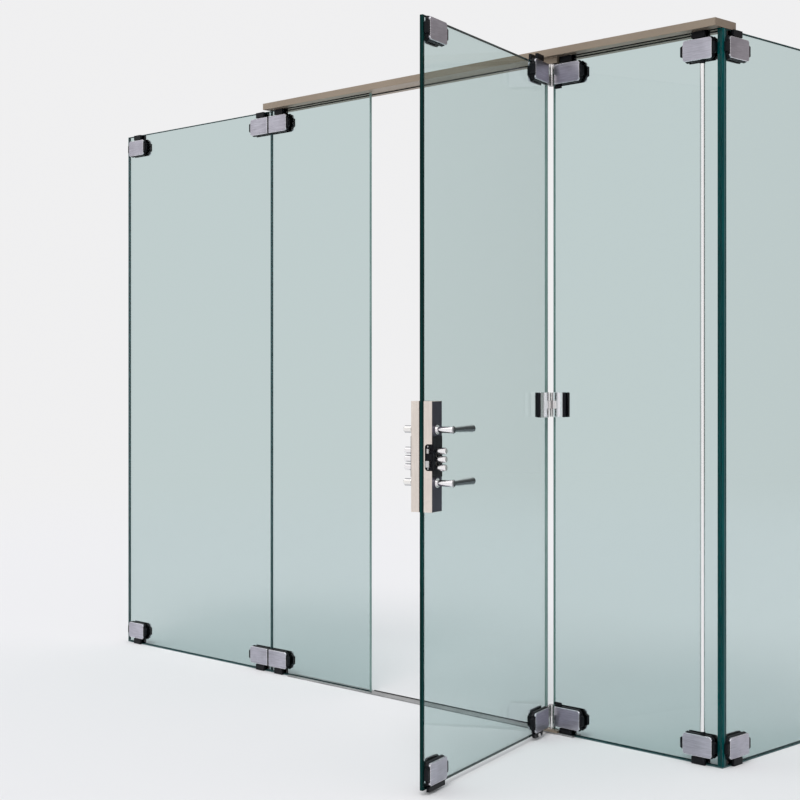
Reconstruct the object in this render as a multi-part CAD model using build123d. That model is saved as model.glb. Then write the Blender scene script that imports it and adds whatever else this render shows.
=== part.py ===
import os

from build123d import *

# Frameless glass entrance: sidelight, narrow pane, hinged leaf, hinge pane and a
# return pane round the corner. Millimetres. The origin is on the floor below the
# hinge axis line of the facade glass. X runs along the facade to the right,
# Y into the building and Z up. The leaf is modelled closed and turned open at the end.

# glass panes
GLASS_T = 12.0
SOFFIT_Z = 2400.0
SIDELIGHT_W = 1045.0
NARROW_W = 611.0
HINGE_PANE_W = 706.0
RETURN_W = 720.0
LEAF_W = 937.0
LEAF_FOOT_Z = 16.0
LEAF_HEAD_GAP = 32.0
ARRIS = 0.8

# gaps round the glass and the seals that fill them
FOOT_GAP = 4.0
JOINT_GAP = 4.0
CORNER_GAP = 3.0
WALL_SEAL_W = 5.0
HINGE_GAP = 4.0
CLOSING_GAP = 5.0

# how the leaf hangs
OPEN_ANGLE = 106.0
HINGE_OFFSET = 17.0
RUNNING_FIT = 0.05
LOOSE_FIT = 0.3

# head rail
HEAD_FRONT = 50.0
HEAD_REAR = 70.0
HEAD_H = 26.0
HEAD_WALL = 3.0
HEAD_BITE = 10.0
GROOVE_SEAL = 3.0
REAR_SLOT_Y = 28.0
REAR_SLOT_W = 5.0
REAR_LIP = 3.0
HEAD_CAP_T = 2.0
HEAD_SCREW_D = 7.0
HEAD_SCREW_INSET = 60.0
INFILL_WALL = 2.5

# floor sill
SILL_T = 6.0
SILL_FRONT = 22.0
SILL_REAR = 25.0
SILL_PAST_HINGE = 100.0
SILL_LEFT_INSET = 125.0
SILL_EDGE = 1.0
SILL_SEAL_W = 6.0
SILL_SEAL_H = 2.0
SILL_SCREW_D = 5.0
SILL_SCREW_INSET = 70.0
SILL_GROOVE_FLOOR = 3.0

# patch clamps
CLAMP_L = 120.0
CLAMP_H = 78.0
CLAMP_T = 10.0
CLAMP_CORNER = 11.0
CLAMP_DRAFT = 14.0
CLAMP_FLOOR_GAP = 24.0
CLAMP_SOFFIT_GAP = 22.0
PAD_T = 1.5
PAD_INSET = 5.0
NOSE_H = 46.0
NOSE_OUT = 7.0
COVER_INSET = 4.0
COVER_H = 70.0
COVER_T = 6.0
COVER_LIP = 4.0
COVER_WALL = 4.0
COVER_CORNER = 6.0
SEAT_FIT = 0.2
SHOE_L = 52.0
HINGE_SHOE_SHIFT = 12.0
HINGE_LUG_START = 10.0
HINGE_LUG_L = 30.0
HINGE_LUG_H = 10.0
HINGE_LUG_T = 6.0
WALL_CLAMP_INSET = 22.0
SPLIT_HALF = 1.0
CORNER_CLAMP_INSET = 27.0
RETURN_INNER_TRIM = 30.0

# corner rod
ROD_D = 16.0
ROD_X_FROM_CORNER = 70.0
ROD_STAND_OFF = 1.6
ROD_SOCKET_D = 18.0
ROD_SOCKET_H = 9.0

# barrel hinges at the top and the bottom of the leaf
BARREL_D = 18.0
PIN_D = 8.0
KNUCKLE_GAP = 0.3
ARM_T = 8.0
HINGE_REACH_FIXED = 14.0
HINGE_REACH_LEAF = 32.0
PIVOT_BLOCK_L = 68.0
PIVOT_BLOCK_W = 22.0
FOOT_BLOCK_H = 8.0
HEAD_BLOCK_H = 14.0
PIVOT_FLOOR = 2.0

# middle hinge
MIDDLE_Z = 1168.0
MIDDLE_H = 86.0
MIDDLE_FIXED_L = 43.0
MIDDLE_LEAF_L = 68.0
MIDDLE_RIM = 7.0
MIDDLE_INNER_L = 34.0
MIDDLE_COVER_LIP = 1.5
MIDDLE_BULGE = 4.0
MIDDLE_COVER_T = 1.5
MIDDLE_BODY_R = 6.0
MIDDLE_BARREL_D = 13.0
MIDDLE_PIN_D = 7.0
MIDDLE_REACH_FIXED = 9.0
MIDDLE_REACH_LEAF = 26.0

# leaf clamps at the free edge
FREE_CLAMP_INSET = 3.0
FREE_CLAMP_FOOT_GAP = 8.0
LEAF_INNER_TRIM = 38.0
LEAF_SHOE_CLEARANCE = 2.5
LEAF_FOOT_SHIFT = 18.0
LEAF_FOOT_L = 72.0
LEAF_FOOT_R = 12.0
LEAF_SHOE_L = 104.0

# lock cases
CASE_L = 66.0
CASE_H = 337.0
CASE_T = 30.0
CASE_WALL = 2.5
CASE_EDGE = 1.0
LOCK_PAD_T = 2.0
LOCK_PAD_W = 6.0
CASE_Z = 1028.0

# forend with its two bolts
FOREND_H = 81.0
FOREND_INSET = 6.0
FOREND_DEPTH = 20.0
FOREND_RECESS = 3.0
FOREND_RIM = 3.0
FOREND_R = 10.0
BOLT_Y = 18.0
BOLT_THICK = 12.0
BOLT_FIT = 0.3
BOLT_TRAVEL = 12.0
LATCH_H = 14.0
LATCH_OUT = 11.0
LATCH_BEVEL = 7.0
DEAD_BOLT_H = 20.0
DEAD_BOLT_OUT = 9.0
DEAD_BOLT_DROP = 14.0
TAIL_T = 4.0
TAIL_LEG_W = 7.0
TAIL_PAST_SPINDLE = 15.0
BOLT_CLEARANCE = 2.5
LUG_H = 6.0
LUG_GAP = 0.6
LUG_BITE = 7.0
DEAD_BOLT_TAIL_H = 10.0

# levers, roses and knobs
SPINDLE_INSET = 28.0
LEVER_UP = 82.0
LEVER_DOWN = 80.0
LEVER_NECK_D = 17.0
LEVER_SHOULDER_D = 24.0
LEVER_REACH = 54.0
LEVER_L = 138.0
LEVER_ROOT_D = 17.0
LEVER_TIP_D = 25.0
LEVER_EDGE = 3.0
TURN_D = 23.0
TURN_L = 39.0
TURN_EDGE = 5.0
ROSE_D = 30.0
ROSE_T = 5.0
SPINDLE_D = 9.0
SPINDLE_GLASS_FIT = 3.0
FOLLOWER_D = 20.0
FOLLOWER_T = 8.0
FOLLOWER_GLASS_GAP = 6.0
FOLLOWER_ARM_W = 8.0
FOLLOWER_ARM_L = 19.0
KNOB_DOWN = 8.0
KNOB_PITCH = 25.5
KNOB_D = 21.0
KNOB_L = 25.0
KNOB_NECK_D = 12.0
KNOB_NECK_L = 8.0
KNOB_EDGE = 2.5
KNOB_STEM_D = 7.0
ESCUTCHEON_H = 125.0
ESCUTCHEON_T = 2.0
ESCUTCHEON_INSET = 1.0

# places that follow from the sizes above
HALF_GLASS = GLASS_T / 2
LEAF_EDGE = HINGE_GAP + LEAF_W
NARROW_RIGHT = -(LEAF_EDGE + CLOSING_GAP)
NARROW_LEFT = NARROW_RIGHT - NARROW_W
SIDELIGHT_RIGHT = NARROW_LEFT - JOINT_GAP
SIDELIGHT_LEFT = SIDELIGHT_RIGHT - SIDELIGHT_W
RETURN_MID_X = HINGE_PANE_W - HALF_GLASS
RETURN_START = HALF_GLASS + CORNER_GAP
JOINT_X = (SIDELIGHT_RIGHT + NARROW_LEFT) / 2
CLAMP_LOW = CLAMP_FLOOR_GAP + CLAMP_H / 2
CLAMP_HIGH = SOFFIT_Z - CLAMP_SOFFIT_GAP - CLAMP_H / 2
SILL_LEFT = NARROW_LEFT + SILL_LEFT_INSET
SILL_GROOVES = ((SILL_LEFT, NARROW_RIGHT), (0.0, SILL_PAST_HINGE))
LEAF_TOP_Z = SOFFIT_Z - LEAF_HEAD_GAP
GROOVE_HALF = HALF_GLASS + GROOVE_SEAL
HOUSING_BACK = HALF_GLASS + PAD_T
HOUSING_FRONT = HOUSING_BACK + CLAMP_T
SPINDLE_X = -(LEAF_EDGE - SPINDLE_INSET)
CASE_FACE = HALF_GLASS + CASE_T
CASE_BACK = HALF_GLASS + LOCK_PAD_T
UPPER_LEVER_Z = CASE_Z + LEVER_UP
LOWER_LEVER_Z = CASE_Z - LEVER_DOWN
KNOB_MIDDLE_Z = CASE_Z - KNOB_DOWN
KNOB_ZS = [KNOB_MIDDLE_Z + KNOB_PITCH, KNOB_MIDDLE_Z, KNOB_MIDDLE_Z - KNOB_PITCH]
LATCH_Z = KNOB_ZS[0]
DEAD_BOLT_Z = KNOB_MIDDLE_Z - DEAD_BOLT_DROP
FOREND_Z = (LATCH_Z + DEAD_BOLT_Z) / 2
BOLT_HEAD_END = SPINDLE_X - KNOB_STEM_D / 2 - BOLT_TRAVEL - BOLT_CLEARANCE
TAIL_END = SPINDLE_X + TAIL_PAST_SPINDLE
FOLLOWER_Y = -(HALF_GLASS + FOLLOWER_GLASS_GAP)

# frames: the facade as it stands, the return pane round the corner, and the open leaf
FACADE = Pos(0, 0, 0)
RETURN = Pos(RETURN_MID_X, 0, 0) * Rot(0, 0, 90)
LEAF = Pos(0, -HINGE_OFFSET, 0) * Rot(0, 0, OPEN_ANGLE) * Pos(0, HINGE_OFFSET, 0)

nodes = {}


def add(name, *solids):
    nodes.setdefault(name, []).extend(solids)


def block(x0, x1, y0, y1, z0, z1):
    centre = Pos((x0 + x1) / 2, (y0 + y1) / 2, (z0 + z1) / 2)
    return centre * Box(abs(x1 - x0), abs(y1 - y0), abs(z1 - z0))


def rod_y(x, z, diameter, y0, y1):
    return Pos(x, (y0 + y1) / 2, z) * Rot(90, 0, 0) * Cylinder(diameter / 2, abs(y1 - y0))


def rod_z(x, y, diameter, z0, z1):
    return Pos(x, y, (z0 + z1) / 2) * Cylinder(diameter / 2, z1 - z0)


def outward(x, z, depth):
    # a drawing plane on the exterior side: its own X is along the pane, its Y is up
    return Plane(origin=(x, -depth, z), x_dir=(1, 0, 0), z_dir=(0, -1, 0))


def mirrored(solid):
    return mirror(solid, about=Plane.XZ)


# panes

def pane(x0, x1, z0, z1, holes=()):
    glass = block(x0, x1, -HALF_GLASS, HALF_GLASS, z0, z1)
    glass = chamfer(glass.edges(), ARRIS)
    for x, z, diameter in holes:
        glass -= rod_y(x, z, diameter, -GLASS_T, GLASS_T)
    return glass


# patch clamps

def end_corners(sheet, noses):
    # the corners at the ends in noses, -1 left and 1 right
    return [corner for corner in sheet.vertices() if (1 if corner.X > 0 else -1) in noses]


def drafted_plate(length, noses):
    # sloping sides all round, then cut square at the ends that have no nose
    left = -length / 2 - (0 if -1 in noses else CLAMP_T)
    right = length / 2 + (0 if 1 in noses else CLAMP_T)
    sheet = Pos((left + right) / 2, 0) * Rectangle(right - left, CLAMP_H)
    sheet = chamfer(end_corners(sheet, noses), CLAMP_CORNER)
    body = extrude(sheet, CLAMP_T, taper=CLAMP_DRAFT)
    for side in (-1, 1):
        if side not in noses:
            body -= Pos(side * (length / 2 + CLAMP_T), 0, 0) * Box(2 * CLAMP_T, CLAMP_H * 2, CLAMP_T * 3)
    return body


def nose(length, side):
    # a lug at mid height that shows past the end of the cover
    root, tip = side * (length / 2 - NOSE_OUT), side * (length / 2 + NOSE_OUT)
    half_root, half_tip = NOSE_H / 2, NOSE_H / 2 - NOSE_OUT
    sheet = Polyline((root, -half_root), (tip, -half_tip), (tip, half_tip), (root, half_root), close=True)
    return extrude(make_face(sheet), CLAMP_T + COVER_LIP)


def housing(length, noses):
    body = drafted_plate(length, noses)
    seat_l = length - 2 * (COVER_INSET + COVER_WALL)
    seat_h = COVER_H - 2 * COVER_WALL
    body += Pos(0, 0, CLAMP_T + COVER_LIP / 2) * Box(seat_l, seat_h, COVER_LIP)
    for side in noses:
        body += nose(length, side)
    return body


def cover(length, noses):
    cap_l = length - 2 * COVER_INSET
    sheet = Rectangle(cap_l, COVER_H)
    cap = extrude(chamfer(end_corners(sheet, noses), COVER_CORNER), COVER_T)
    inside_l = cap_l - 2 * COVER_WALL + SEAT_FIT
    inside_h = COVER_H - 2 * COVER_WALL + SEAT_FIT
    cap -= Pos(0, 0, COVER_LIP / 2) * Box(inside_l, inside_h, COVER_LIP)
    for side in noses:
        notch = Box(COVER_WALL * 2 + NOSE_OUT, NOSE_H + SEAT_FIT * 2, COVER_LIP * 2)
        cap -= Pos(side * (cap_l / 2 + NOSE_OUT / 2), 0, 0) * notch
    return cap


def clamp_half(x, z, noses, length):
    body = outward(x, z, HOUSING_BACK).location * housing(length, noses)
    cap = outward(x, z, HOUSING_FRONT).location * cover(length, noses)
    pad_l, pad_h = length / 2 - PAD_INSET, CLAMP_H / 2 - PAD_INSET
    pad = block(x - pad_l, x + pad_l, -HOUSING_BACK, -HALF_GLASS, z - pad_h, z + pad_h)
    return body, cap, pad


def clamp(name, pads, x, z, noses, frame, inner_trim=0.0):
    # outer and inner halves; inner_trim shortens the inner half at its left end
    outer = clamp_half(x, z, noses, CLAMP_L)
    inner = clamp_half(x + inner_trim / 2, z, noses, CLAMP_L - inner_trim)
    halves = [outer, tuple(mirrored(solid) for solid in inner)]
    for body, cap, pad in halves:
        add(name + "_housings", frame * body)
        add(name + "_covers", frame * cap)
        add(pads, frame * pad)


def shoe(name, x, z0, z1, frame, outer_l=SHOE_L):
    # a fixing block on each side of the glass, between a clamp and the floor or the head
    for back, length in ((HOUSING_BACK, SHOE_L), (-HOUSING_BACK - CLAMP_T, outer_l)):
        body = block(x - length / 2, x + length / 2, back, back + CLAMP_T, z0, z1)
        add(name, frame * body)


def fixed_clamp(name, x, noses, frame, inner_trim=0.0, floor=0.0, shoe_shift=0.0):
    clamp(name, "clamp_pads", x, CLAMP_HIGH, noses, frame, inner_trim)
    clamp(name, "clamp_pads", x, CLAMP_LOW, noses, frame, inner_trim)
    shoe("clamp_shoes", x + shoe_shift, CLAMP_HIGH + CLAMP_H / 2, SOFFIT_Z, frame)
    shoe("clamp_shoes", x + shoe_shift, floor, CLAMP_LOW - CLAMP_H / 2, frame)


def hinge_lugs():
    # a lug on each housing beside the barrel, on the side away from the floor or the head
    for z, side in ((CLAMP_LOW, 1), (CLAMP_HIGH, -1)):
        root = z + side * CLAMP_H / 2
        z0, z1 = sorted((root, root + side * HINGE_LUG_H))
        x0, x1 = HINGE_LUG_START, HINGE_LUG_START + HINGE_LUG_L
        add("hinge_lugs", block(x0, x1, -HOUSING_BACK - HINGE_LUG_T, -HALF_GLASS, z0, z1))


def fixed_clamps():
    half = CLAMP_L / 2
    fixed_clamp("wall_clamp", SIDELIGHT_LEFT + WALL_CLAMP_INSET + half, (-1, 1), FACADE)
    fixed_clamp("joint_clamp", JOINT_X - SPLIT_HALF - half, (-1,), FACADE)
    fixed_clamp("joint_clamp", JOINT_X + SPLIT_HALF + half, (1,), FACADE)
    fixed_clamp("hinge_clamp", HINGE_REACH_FIXED + half, (1,), FACADE, 0, SILL_T, -HINGE_SHOE_SHIFT)
    fixed_clamp("corner_clamp", HINGE_PANE_W - CORNER_CLAMP_INSET - half, (-1, 1), FACADE)
    fixed_clamp("corner_clamp", RETURN_START + half, (-1, 1), RETURN, RETURN_INNER_TRIM)
    hinge_lugs()


# fixed panes and what seals them

def fixed_panes():
    head_z = SOFFIT_Z + HEAD_BITE
    add("sidelight_glass", pane(SIDELIGHT_LEFT, SIDELIGHT_RIGHT, FOOT_GAP, SOFFIT_Z))
    add("narrow_pane_glass", pane(NARROW_LEFT, NARROW_RIGHT, FOOT_GAP, head_z))
    add("hinge_pane_glass", pane(0, HINGE_PANE_W, FOOT_GAP, head_z))
    add("return_pane_glass", RETURN * pane(RETURN_START, RETURN_START + RETURN_W, FOOT_GAP, SOFFIT_Z))


def strip(x0, x1, z0, z1):
    return block(x0, x1, -HALF_GLASS, HALF_GLASS, z0, z1)


def seals():
    add("joint_seals", strip(SIDELIGHT_RIGHT, NARROW_LEFT, FOOT_GAP, SOFFIT_Z))
    add("joint_seals", RETURN * strip(HALF_GLASS, RETURN_START, FOOT_GAP, SOFFIT_Z))
    add("perimeter_seals", strip(SIDELIGHT_LEFT - WALL_SEAL_W, SIDELIGHT_LEFT, 0, SOFFIT_Z))
    add("perimeter_seals", strip(SIDELIGHT_LEFT, SIDELIGHT_RIGHT, 0, FOOT_GAP))
    add("perimeter_seals", strip(NARROW_LEFT, SILL_LEFT, 0, FOOT_GAP))
    add("perimeter_seals", strip(SILL_PAST_HINGE, HINGE_PANE_W, 0, FOOT_GAP))
    add("perimeter_seals", RETURN * strip(RETURN_START, RETURN_START + RETURN_W, 0, FOOT_GAP))


# head rail over the narrow pane, the doorway and the hinge pane

def along_x(sheet, x0, x1):
    # a section drawn with Y across and Z up, run from x0 to x1
    return Pos(x0, 0, 0) * extrude(Plane.YZ * sheet, x1 - x0)


def box_section(y0, y1, z0, z1):
    return Pos((y0 + y1) / 2, (z0 + z1) / 2) * Rectangle(y1 - y0, z1 - z0)


def head_rail():
    low, top = SOFFIT_Z, SOFFIT_Z + HEAD_H
    groove_top = low + HEAD_BITE + PAD_T
    section = box_section(-HEAD_FRONT, HEAD_REAR, low, top)
    section -= box_section(-GROOVE_HALF, GROOVE_HALF, low, groove_top)
    section -= box_section(REAR_SLOT_Y, REAR_SLOT_Y + REAR_SLOT_W, low, groove_top)
    chamber = (low + HEAD_WALL, top - HEAD_WALL)
    edges = [-HEAD_FRONT, -GROOVE_HALF, GROOVE_HALF, REAR_SLOT_Y, REAR_SLOT_Y + REAR_SLOT_W, HEAD_REAR]
    for y0, y1 in zip(edges[::2], edges[1::2]):
        section -= box_section(y0 + HEAD_WALL, y1 - HEAD_WALL, *chamber)
    rail = along_x(section, NARROW_LEFT, HINGE_PANE_W)
    near = (NARROW_RIGHT + HEAD_SCREW_INSET, -HEAD_SCREW_INSET)
    far = (NARROW_LEFT + HEAD_SCREW_INSET, HINGE_PANE_W - HEAD_SCREW_INSET)
    for x in near + far:
        rail -= rod_z(x, 0, HEAD_SCREW_D, groove_top, top)
    add("head_rail", rail)
    for x in (NARROW_LEFT - HEAD_CAP_T, HINGE_PANE_W):
        add("head_rail_caps", block(x, x + HEAD_CAP_T, -HEAD_FRONT, HEAD_REAR, low, top))


def head_infill():
    # a snap-in channel that closes the glass groove over the doorway
    channel = box_section(-GROOVE_HALF, GROOVE_HALF, SOFFIT_Z, SOFFIT_Z + HEAD_BITE)
    channel -= box_section(
        -GROOVE_HALF + INFILL_WALL, GROOVE_HALF - INFILL_WALL, SOFFIT_Z + INFILL_WALL, SOFFIT_Z + HEAD_BITE
    )
    add("head_infill", along_x(channel, NARROW_RIGHT, 0))


def head_gasket():
    for x0, x1 in ((NARROW_LEFT, NARROW_RIGHT), (0, HINGE_PANE_W)):
        for y in (-GROOVE_HALF, HALF_GLASS):
            add("head_gasket", block(x0, x1, y, y + GROOVE_SEAL, SOFFIT_Z, SOFFIT_Z + HEAD_BITE))
    seal = box_section(
        REAR_SLOT_Y, REAR_SLOT_Y + REAR_SLOT_W, SOFFIT_Z - REAR_LIP, SOFFIT_Z + HEAD_BITE + PAD_T
    )
    add("head_gasket", along_x(seal, NARROW_LEFT, RETURN_MID_X - HALF_GLASS))


# floor sill under the doorway, with a groove for the panes on both sides

def floor_sill():
    sill = block(SILL_LEFT, SILL_PAST_HINGE, -SILL_FRONT, SILL_REAR, 0, SILL_T)
    sill = chamfer(sill.edges().filter_by(Axis.X).group_by(Axis.Z)[-1], SILL_EDGE)
    for x0, x1 in SILL_GROOVES:
        sill -= block(x0, x1, -GROOVE_HALF, GROOVE_HALF, SILL_GROOVE_FLOOR, SILL_T)
    for x in (NARROW_RIGHT + SILL_SCREW_INSET, -SILL_SCREW_INSET):
        sill -= rod_z(x, 0, SILL_SCREW_D, 0, SILL_T)
    add("floor_sill", sill)


def sill_gasket():
    for x0, x1 in SILL_GROOVES:
        bed = block(x0, x1, -GROOVE_HALF, GROOVE_HALF, SILL_GROOVE_FLOOR, SILL_T)
        add("sill_gasket", bed - block(x0, x1, -HALF_GLASS, HALF_GLASS, FOOT_GAP, SILL_T))
    y = SILL_REAR - SILL_SEAL_W - SILL_EDGE
    add("sill_gasket", block(NARROW_RIGHT, 0, y, y + SILL_SEAL_W, SILL_T, SILL_T + SILL_SEAL_H))


# polished rod between the clamps at the corner

def corner_rod():
    x, y = HINGE_PANE_W - ROD_X_FROM_CORNER, -(HALF_GLASS + ROD_STAND_OFF + ROD_D / 2)
    z0, z1 = CLAMP_LOW + CLAMP_H / 2, CLAMP_HIGH - CLAMP_H / 2
    add("corner_rod", rod_z(x, y, ROD_D, z0 + ROD_SOCKET_H, z1 - ROD_SOCKET_H))
    for end in (z0, z1 - ROD_SOCKET_H):
        add("rod_sockets", rod_z(x, y, ROD_SOCKET_D, end, end + ROD_SOCKET_H))


# hinges: knuckles on a pin, by turns on the frame and on the leaf

def knuckle(diameter, reach, z0, z1):
    # reach is where the arm meets its clamp, to the right or to the left of the pin
    arm = block(0, reach, -HINGE_OFFSET - ARM_T / 2, -HINGE_OFFSET + ARM_T / 2, z0, z1)
    return rod_z(0, -HINGE_OFFSET, diameter, z0, z1) + arm


def barrel(owners, diameter, pin_d, pin_ends, height, z, reach_fixed, reach_leaf):
    # one knuckle for each owner from the bottom up; the frame's ones hold the pin
    each = (height - KNUCKLE_GAP * (len(owners) - 1)) / len(owners)
    fixed = rod_z(0, -HINGE_OFFSET, pin_d, *pin_ends)
    start = z - height / 2
    for owner in owners:
        if owner == "frame":
            fixed += knuckle(diameter, reach_fixed, start, start + each)
        else:
            bore = rod_z(0, -HINGE_OFFSET, pin_d + 2 * RUNNING_FIT, start, start + each)
            add("leaf_knuckles", LEAF * (knuckle(diameter, -reach_leaf, start, start + each) - bore))
        start += each + KNUCKLE_GAP
    add("frame_knuckles", fixed)


def hinge_barrels():
    half = CLAMP_H / 2
    reaches = (HINGE_REACH_FIXED, HINGE_REACH_LEAF)
    low_pin = (SILL_T + PIVOT_FLOOR, CLAMP_LOW + half)
    high_pin = (CLAMP_HIGH - half, CLAMP_HIGH + half + HEAD_BLOCK_H - PIVOT_FLOOR)
    barrel(("frame", "leaf"), BARREL_D, PIN_D, low_pin, CLAMP_H, CLAMP_LOW, *reaches)
    barrel(("leaf", "frame"), BARREL_D, PIN_D, high_pin, CLAMP_H, CLAMP_HIGH, *reaches)
    reaches = (MIDDLE_REACH_FIXED, MIDDLE_REACH_LEAF)
    pin = (MIDDLE_Z - MIDDLE_H / 2, MIDDLE_Z + MIDDLE_H / 2)
    owners = ("frame", "leaf", "frame")
    barrel(owners, MIDDLE_BARREL_D, MIDDLE_PIN_D, pin, MIDDLE_H, MIDDLE_Z, *reaches)


def pivot_blocks():
    # bearing blocks on the sill and under the head, each with a blind bore for the pin
    high = CLAMP_HIGH + CLAMP_H / 2
    half_l, half_w = PIVOT_BLOCK_L / 2, PIVOT_BLOCK_W / 2
    y = -HINGE_OFFSET
    for z0, z1, bore0, bore1 in (
        (SILL_T, SILL_T + FOOT_BLOCK_H, SILL_T + PIVOT_FLOOR, SILL_T + FOOT_BLOCK_H),
        (high, SOFFIT_Z, high, high + HEAD_BLOCK_H - PIVOT_FLOOR),
    ):
        body = block(-half_l, half_l, y - half_w, y + half_w, z0, z1)
        add("pivot_blocks", body - rod_z(0, y, PIN_D + 2 * RUNNING_FIT, bore0, bore1))


# middle hinge: a black body each side of the barrel under a curved polished cover

def middle_half(reach, length):
    # drawn for the right-hand side; the cover bulges outwards and folds over top and bottom
    z0, z1 = MIDDLE_Z - MIDDLE_H / 2, MIDDLE_Z + MIDDLE_H / 2
    body = block(reach, reach + length + MIDDLE_RIM, -HOUSING_FRONT, -HOUSING_BACK, z0, z1)
    body = fillet(body.edges().filter_by(Axis.Z).group_by(Axis.X)[-1].sort_by(Axis.Y)[0], MIDDLE_BODY_R)
    end = reach + length
    face = HOUSING_FRONT + MIDDLE_COVER_T
    profile = Polyline((end, -face), (end, -HOUSING_BACK), (reach, -HOUSING_BACK), (reach, -face))
    crown = ThreePointArc((reach, -face), ((reach + end) / 2, -face - MIDDLE_BULGE), (end, -face))
    sheet = make_face(profile + crown)
    lipped = Pos(0, 0, z0 - MIDDLE_COVER_LIP) * extrude(sheet, MIDDLE_H + 2 * MIDDLE_COVER_LIP)
    return body, lipped - block(reach, end, -HOUSING_FRONT, -HOUSING_BACK, z0, z1)


def middle_hinge():
    sides = (
        ("frame", FACADE, MIDDLE_REACH_FIXED, MIDDLE_FIXED_L, False),
        ("leaf", LEAF, MIDDLE_REACH_LEAF, MIDDLE_LEAF_L, True),
    )
    for owner, frame, reach, length, leftward in sides:
        inner_half = middle_half(reach, MIDDLE_INNER_L if leftward else length)
        inner = tuple(mirrored(solid) for solid in inner_half)
        for body, cap in (middle_half(reach, length), inner):
            if leftward:
                body, cap = mirror(body, about=Plane.YZ), mirror(cap, about=Plane.YZ)
            add(owner + "_middle_hinge_bodies", frame * body)
            add(owner + "_middle_hinge_covers", frame * cap)
        x0, x1 = reach + PAD_INSET, reach + MIDDLE_INNER_L + MIDDLE_RIM - PAD_INSET
        z0, z1 = MIDDLE_Z - MIDDLE_H / 2 + PAD_INSET, MIDDLE_Z + MIDDLE_H / 2 - PAD_INSET
        for y in (-HOUSING_BACK, HALF_GLASS):
            pad = block(x0, x1, y, y + PAD_T, z0, z1)
            pad = mirror(pad, about=Plane.YZ) if leftward else pad
            add("leaf_pads" if leftward else "clamp_pads", frame * pad)


# leaf, modelled closed and turned open by its frame

def leaf_glass():
    holes = [(SPINDLE_X, z, SPINDLE_D + 2 * SPINDLE_GLASS_FIT) for z in (UPPER_LEVER_Z, LOWER_LEVER_Z)]
    glass = pane(-LEAF_EDGE, -HINGE_GAP, LEAF_FOOT_Z, LEAF_TOP_Z, holes)
    add("leaf_glass", LEAF * (glass - knob_slot(SPINDLE_GLASS_FIT, -GLASS_T, GLASS_T)))


def leaf_clamps():
    hinge_x = -(HINGE_REACH_LEAF + CLAMP_L / 2)
    free_x = -(LEAF_EDGE - FREE_CLAMP_INSET - NOSE_OUT - CLAMP_L / 2)
    free_high = LEAF_TOP_Z - CLAMP_H / 2
    free_low = LEAF_FOOT_Z + FREE_CLAMP_FOOT_GAP + CLAMP_H / 2
    for z in (CLAMP_HIGH, CLAMP_LOW):
        clamp("leaf_hinge_clamp", "leaf_pads", hinge_x, z, (-1,), LEAF, LEAF_INNER_TRIM)
    for z in (free_high, free_low):
        clamp("leaf_free_clamp", "leaf_pads", free_x, z, (-1, 1), LEAF, LEAF_INNER_TRIM)
    floor = SILL_T + LEAF_SHOE_CLEARANCE
    shoe("leaf_shoes", hinge_x, CLAMP_HIGH + CLAMP_H / 2, SOFFIT_Z - LEAF_SHOE_CLEARANCE, LEAF)
    shoe("leaf_shoes", free_x, floor, free_low - CLAMP_H / 2, LEAF, LEAF_SHOE_L)
    leaf_foot(hinge_x - LEAF_FOOT_SHIFT, floor)


def leaf_foot(x, floor):
    # a foot with rounded lower corners under the outer half of the hinge clamp
    foot = block(
        x - LEAF_FOOT_L / 2, x + LEAF_FOOT_L / 2,
        -HOUSING_FRONT, -HOUSING_BACK, floor, CLAMP_LOW - CLAMP_H / 2,
    )
    foot = fillet(foot.edges().filter_by(Axis.Y).group_by(Axis.Z)[0], LEAF_FOOT_R)
    add("leaf_shoes", LEAF * foot)


# lock cases, black forend and escutcheons

def knob_slot(fit, y0, y1):
    # one upright slot for the stems of all three knobs
    width = KNOB_STEM_D + 2 * fit
    sheet = SlotOverall(2 * KNOB_PITCH + width, width, rotation=90)
    return outward(SPINDLE_X, KNOB_MIDDLE_Z, -y1).location * extrude(sheet, y1 - y0)


def case_shell():
    z0, z1 = CASE_Z - CASE_H / 2, CASE_Z + CASE_H / 2
    body = block(-LEAF_EDGE, -LEAF_EDGE + CASE_L, -CASE_FACE, -CASE_BACK, z0, z1)
    body = chamfer(body.faces().sort_by(Axis.Y)[0].edges(), CASE_EDGE)
    body -= block(
        -LEAF_EDGE + CASE_WALL, -LEAF_EDGE + CASE_L - CASE_WALL,
        -CASE_FACE + CASE_WALL, -CASE_BACK, z0 + CASE_WALL, z1 - CASE_WALL,
    )
    for z in (UPPER_LEVER_Z, LOWER_LEVER_Z):
        body -= rod_y(SPINDLE_X, z, SPINDLE_D + 2 * LOOSE_FIT, -CASE_FACE, -CASE_FACE + CASE_WALL)
    return body - knob_slot(LOOSE_FIT, -CASE_FACE, -CASE_FACE + CASE_WALL)


def lock_pads():
    # a gasket frame between each case and the glass
    x, half = -LEAF_EDGE + CASE_L / 2, CASE_H / 2
    sheet = Rectangle(CASE_L, CASE_H) - Rectangle(CASE_L - 2 * LOCK_PAD_W, 2 * (half - LOCK_PAD_W))
    pad = outward(x, CASE_Z, HALF_GLASS).location * extrude(sheet, LOCK_PAD_T)
    add("lock_pads", LEAF * pad, LEAF * mirrored(pad))


def forend_sheet(inset):
    # seen from the free edge: rounded beside the glass, square at the corner of the case
    y0, y1 = -CASE_FACE + inset, -(HALF_GLASS + FOREND_INSET) - inset
    sheet = box_section(y0, y1, FOREND_Z - FOREND_H / 2 + inset, FOREND_Z + FOREND_H / 2 - inset)
    return fillet(sheet.vertices().group_by(Axis.X)[-1], FOREND_R - inset)


def bolt_block(x0, x1, z, height, fit=0.0):
    half_t, half_h = BOLT_THICK / 2 + fit, height / 2 + fit
    y = -(HALF_GLASS + BOLT_Y)
    return block(x0, x1, y - half_t, y + half_t, z - half_h, z + half_h)


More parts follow.
